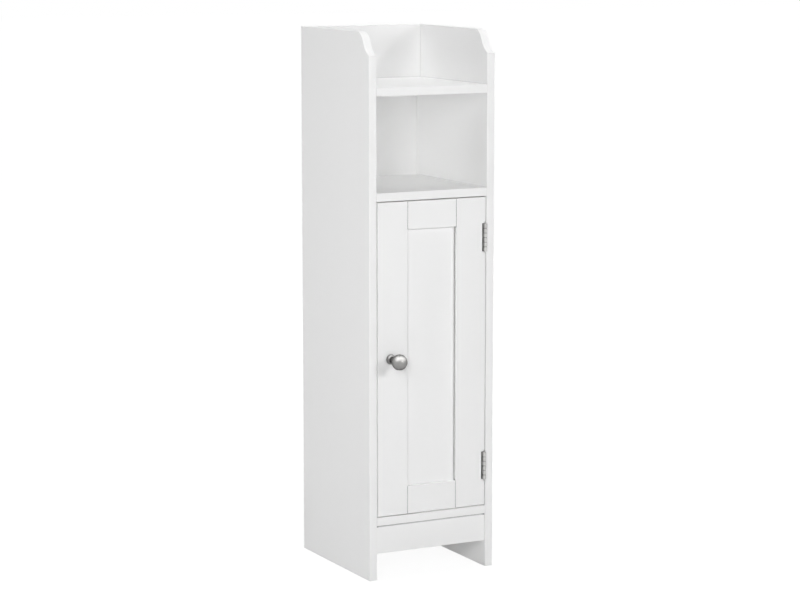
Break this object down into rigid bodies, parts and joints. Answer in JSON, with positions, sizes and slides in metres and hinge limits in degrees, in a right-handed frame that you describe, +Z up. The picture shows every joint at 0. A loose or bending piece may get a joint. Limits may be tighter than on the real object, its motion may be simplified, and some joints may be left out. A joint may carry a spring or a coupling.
{
  "type": "slim bathroom cabinet",
  "caption": "Tall slim white bathroom cabinet with a tray top between ogee-cut sides, an open niche, and a cupboard behind an inset frame-and-panel door on butt hinges.",
  "frame": {"origin": "on the floor, midway between the two side panels and midway between their front and rear edges", "axes": "+X to the right as one faces the door, +Y to the rear, +Z up"},
  "size_m": [0.2, 0.2582, 0.78],
  "materials": {
    "painted_board": "white satin lacquer on fibreboard",
    "back_board": "white-faced thin fibreboard",
    "hinge_steel": "dull nickel plate",
    "screw_steel": "bright zinc plate",
    "cam_zinc": "die-cast zinc",
    "dowel_beech": "bare beech",
    "knob_nickel": "satin nickel",
    "catch_plastic": "white moulded plastic",
    "magnet_ferrite": "sintered ferrite"
  },
  "bodies": {
    "case": {"left_side_panel": "painted_board", "right_side_panel": "painted_board", "top_shelf": "painted_board", "middle_shelf": "painted_board", "bottom_shelf": "painted_board", "tray_back_rail": "painted_board", "kick_plate": "painted_board", "inner_shelf": "painted_board", "back_panel": "back_board", "upper_hinge_frame_leaf": "hinge_steel", "upper_hinge_pin": "hinge_steel", "lower_hinge_frame_leaf": "hinge_steel", "lower_hinge_pin": "hinge_steel", "hinge_frame_screws": "screw_steel", "catch_screws": "screw_steel", "back_panel_nails": "screw_steel", "shelf_pins": "screw_steel", "cam_bolts": "screw_steel", "cam_nuts": "cam_zinc", "dowels": "dowel_beech", "catch_housing": "catch_plastic", "catch_magnet": "magnet_ferrite"},
    "door": {"door_left_stile": "painted_board", "door_right_stile": "painted_board", "door_top_rail": "painted_board", "door_bottom_rail": "painted_board", "door_panel": "painted_board", "upper_hinge_door_leaf": "hinge_steel", "lower_hinge_door_leaf": "hinge_steel", "hinge_door_screws": "screw_steel", "strike_screws": "screw_steel", "knob_screw": "screw_steel", "strike_plate": "screw_steel", "door_knob": "knob_nickel"}
  },
  "joints": [
    {"name": "door_hinge", "type": "hinge", "parent": "case", "child": "door", "pos_m": [0.0854, -0.1118, 0.31725], "axis": [0, 0, 1], "range_deg": [0, 175]}
  ]
}
